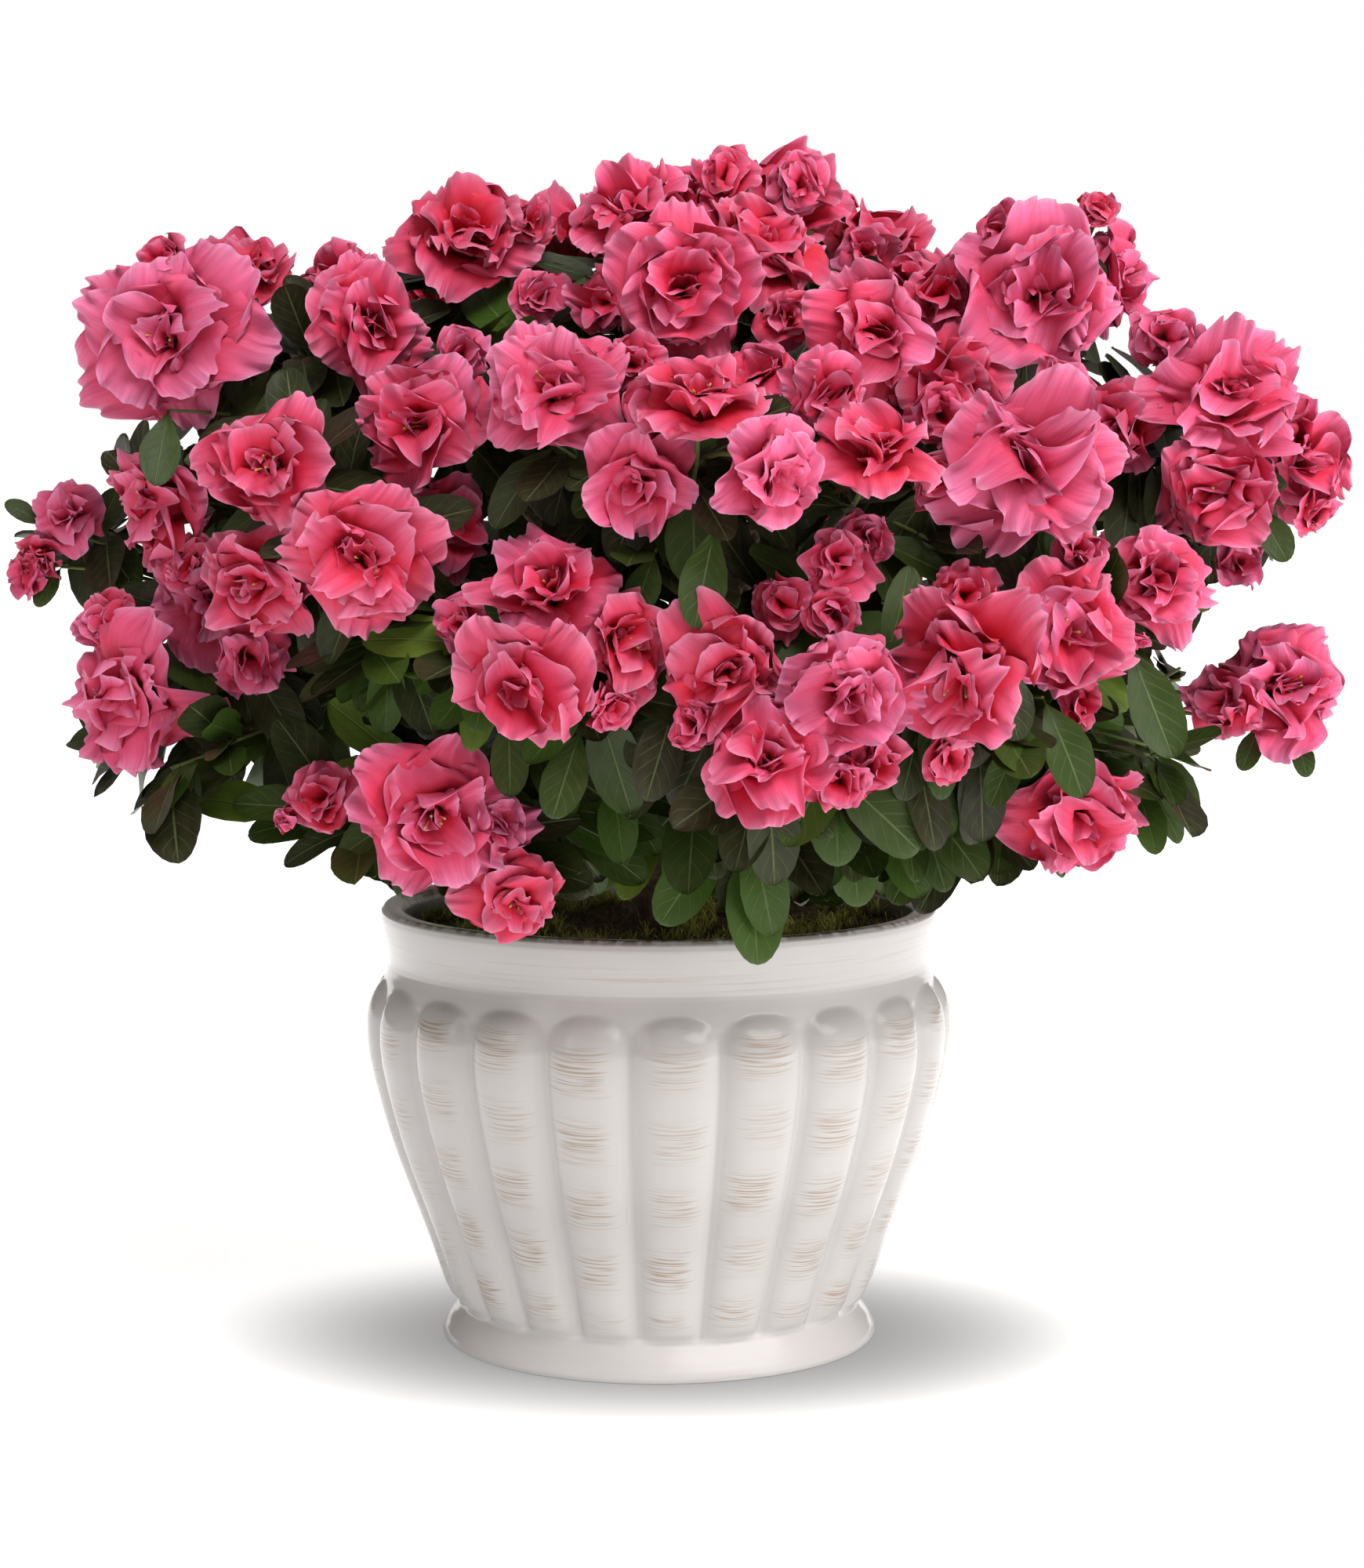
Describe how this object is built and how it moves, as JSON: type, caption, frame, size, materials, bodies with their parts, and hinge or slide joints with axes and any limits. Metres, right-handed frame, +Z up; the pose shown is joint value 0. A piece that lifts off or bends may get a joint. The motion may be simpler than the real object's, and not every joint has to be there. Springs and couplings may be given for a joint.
{
  "type": "potted azalea shrub",
  "caption": "Flowering azalea shrub with ruffled double pink blooms, growing in a low reeded glazed planter.",
  "frame": {"origin": "middle of the planter's flat underside", "axes": "+Z up along the planter's axis, -Y to the front of the plant, +X to its right as seen from the front"},
  "size_m": [0.4313, 0.3281, 0.3772],
  "materials": {
    "glazed_planter": "gloss",
    "potting_mix": "matte",
    "bark": "matte",
    "blossom_and_leaf": "matte",
    "petals": "matte",
    "leaves": "satin",
    "twigs": "matte",
    "moss": "matte",
    "stamens": "matte"
  },
  "bodies": {
    "root": {"planter": "glazed_planter", "root_ball": "potting_mix", "trunk": "bark", "limb_leader": "bark", "limb_1": "bark", "limb_2": "bark", "limb_3": "bark", "limb_4": "bark", "bough_left_shoulder": "bark", "bough_left_peak": "bark", "bough_left_breast": "bark", "bough_left_sprig": "bark", "bough_left_front": "bark", "bough_left_low": "bark", "bough_left_foot": "bark", "bough_front_left": "bark", "bough_crest": "bark", "bough_top": "bark", "bough_front_high": "bark", "bough_right_heart": "bark", "bough_right_peak": "bark", "bough_right_shoulder": "bark", "bough_right_low": "bark", "bough_right_sprig": "bark", "bough_right_front": "bark", "bough_front_right": "bark", "bough_back_top_1": "bark", "bough_back_high_1": "bark", "bough_back_high_2": "bark", "bough_back_high_3": "bark", "bough_back_low_1": "bark", "bough_back_low_2": "bark", "bough_back_low_3": "bark", "bough_back_low_4": "bark", "left_shoulder": "blossom_and_leaf", "left_peak": "blossom_and_leaf", "left_breast": "blossom_and_leaf", "left_sprig": "blossom_and_leaf", "left_front": "blossom_and_leaf", "left_low": "blossom_and_leaf", "left_foot": "blossom_and_leaf", "front_left": "blossom_and_leaf", "crest": "blossom_and_leaf", "top": "blossom_and_leaf", "front_high": "blossom_and_leaf", "right_heart": "blossom_and_leaf", "right_peak": "blossom_and_leaf", "right_shoulder": "blossom_and_leaf", "right_low": "blossom_and_leaf", "right_sprig": "blossom_and_leaf", "right_front": "blossom_and_leaf", "front_right": "blossom_and_leaf", "back_top_1": "blossom_and_leaf", "back_high_1": "blossom_and_leaf", "back_high_2": "blossom_and_leaf", "back_high_3": "blossom_and_leaf", "back_low_1": "blossom_and_leaf", "back_low_2": "blossom_and_leaf", "back_low_3": "blossom_and_leaf", "back_low_4": "blossom_and_leaf"}
  },
  "joints": []
}
